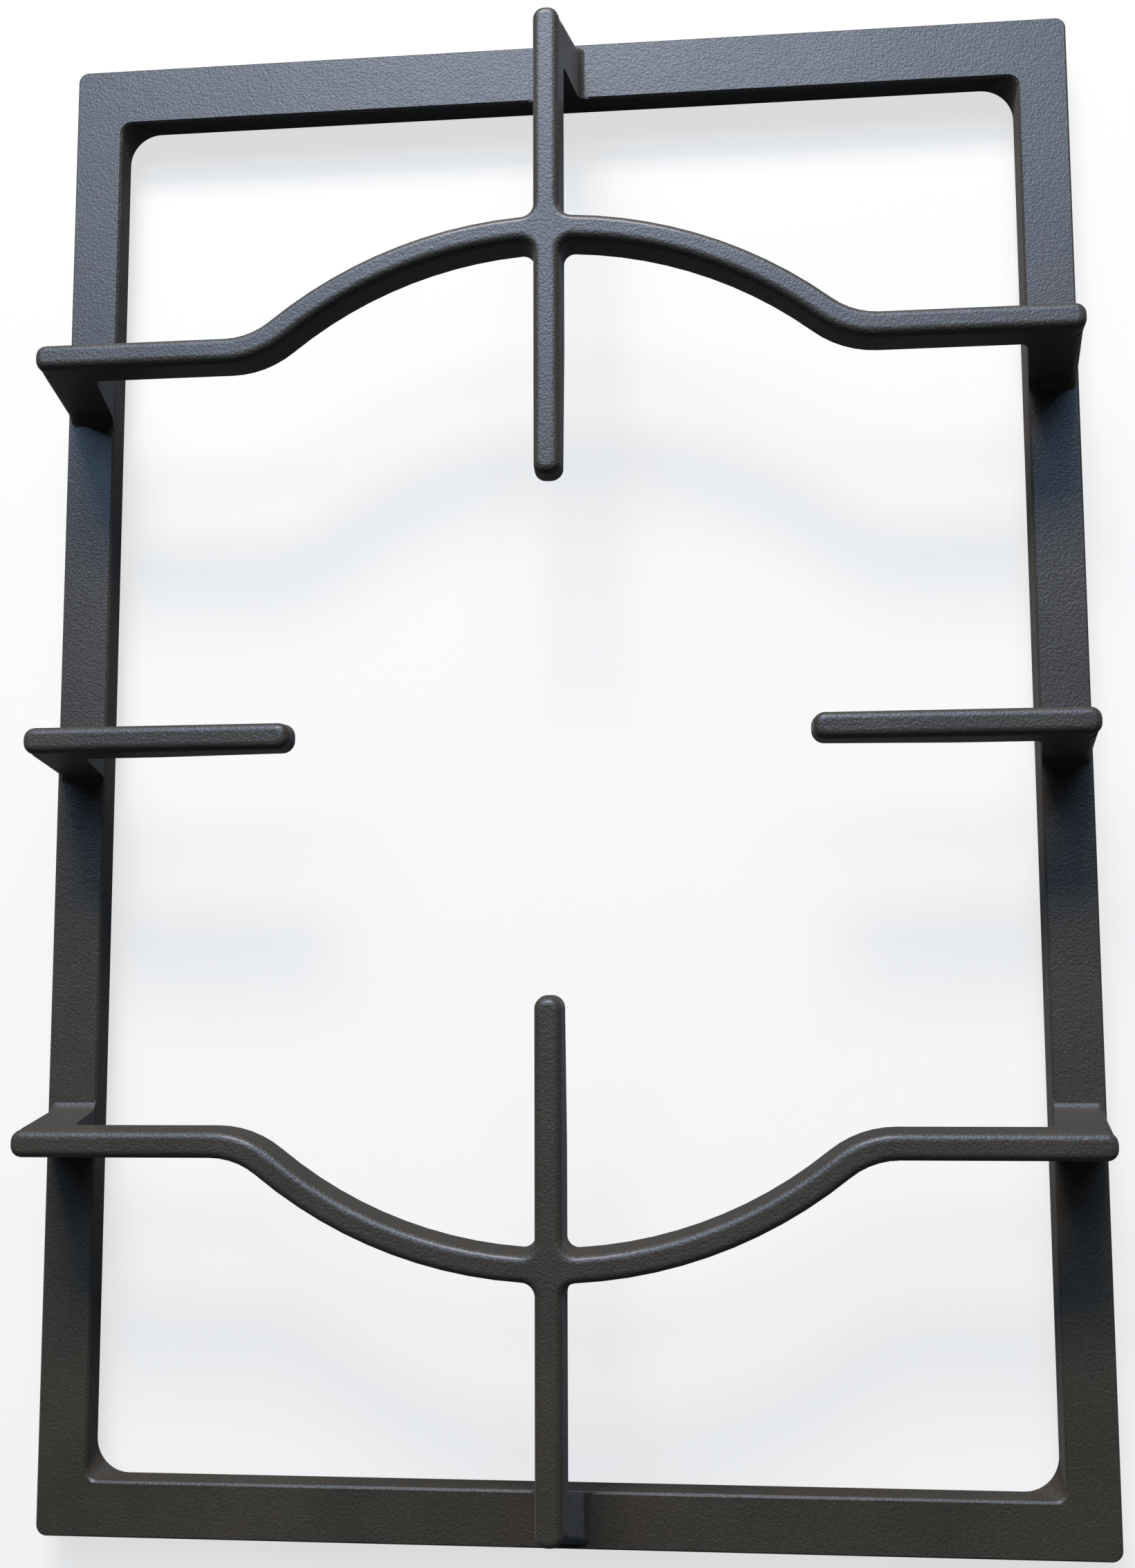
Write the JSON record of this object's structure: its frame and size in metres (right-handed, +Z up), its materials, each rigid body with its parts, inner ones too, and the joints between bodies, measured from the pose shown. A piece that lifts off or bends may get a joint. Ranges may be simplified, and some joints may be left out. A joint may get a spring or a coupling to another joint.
{
  "type": "hob pan support",
  "caption": "Rectangular cast-iron pan support for a gas hob: a flat frame with raised wavy ribs and fingers that reach in over the burner.",
  "frame": {"origin": "on the surface that the feet stand on, under the middle of the frame", "axes": "+X to the right across the support, +Y from front to rear along its long side, +Z up"},
  "size_m": [0.25, 0.3636, 0.0369],
  "materials": {
    "cast_iron_enamel": "matt dark enamel on cast iron"
  },
  "bodies": {
    "root": {"pan_support": "cast_iron_enamel"}
  },
  "joints": []
}
